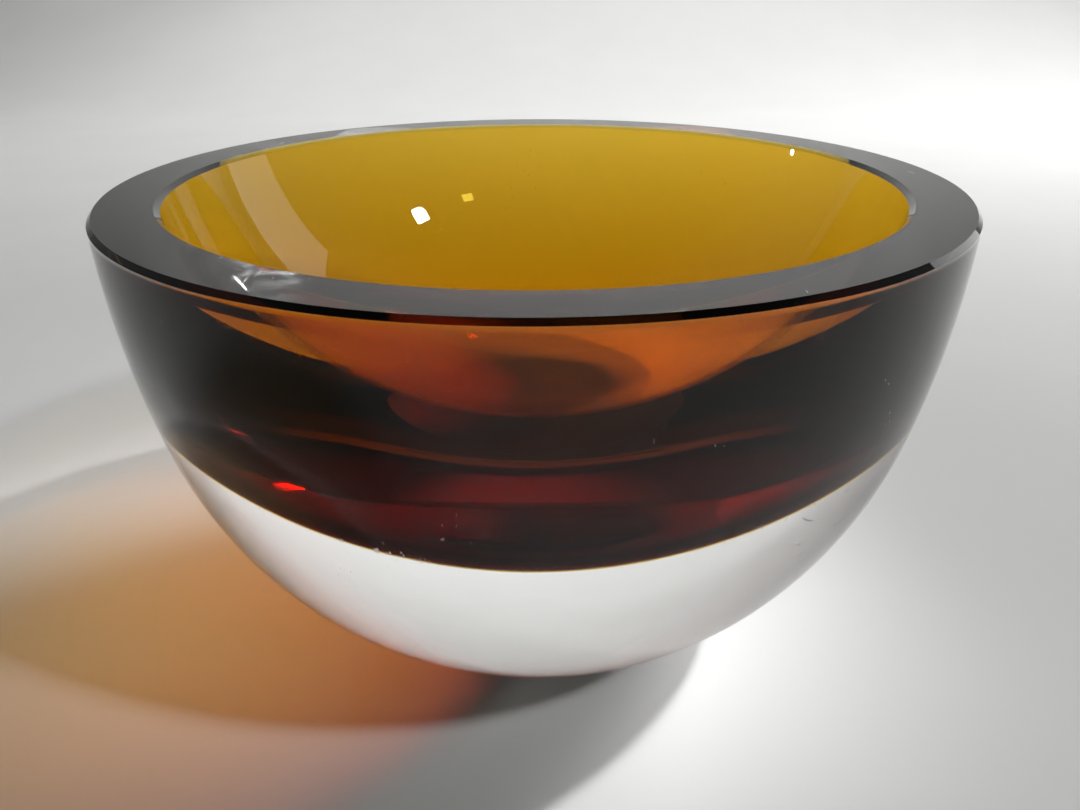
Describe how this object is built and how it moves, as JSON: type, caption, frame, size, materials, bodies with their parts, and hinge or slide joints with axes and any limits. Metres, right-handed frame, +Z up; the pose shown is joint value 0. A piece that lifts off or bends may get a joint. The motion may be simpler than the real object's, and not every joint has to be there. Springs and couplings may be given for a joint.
{
  "type": "bowl",
  "caption": "Heavy round cased-glass bowl: a deep cavity with a thin amber lining in thick clear glass, with a broad flat polished rim and a small flat foot",
  "frame": {"origin": "Centre of the flat foot, on the surface that the bowl stands on", "axes": "+Z is up along the bowl's axis, through the centre of its mouth; X and Y lie in the plane of the foot, and the bowl is the same all round"},
  "size_m": [0.2, 0.2, 0.12],
  "materials": {
    "clear_glass": "polished",
    "amber_glass": "polished"
  },
  "bodies": {
    "root": {"clear_casing": "clear_glass", "amber_lining": "amber_glass"}
  },
  "joints": []
}
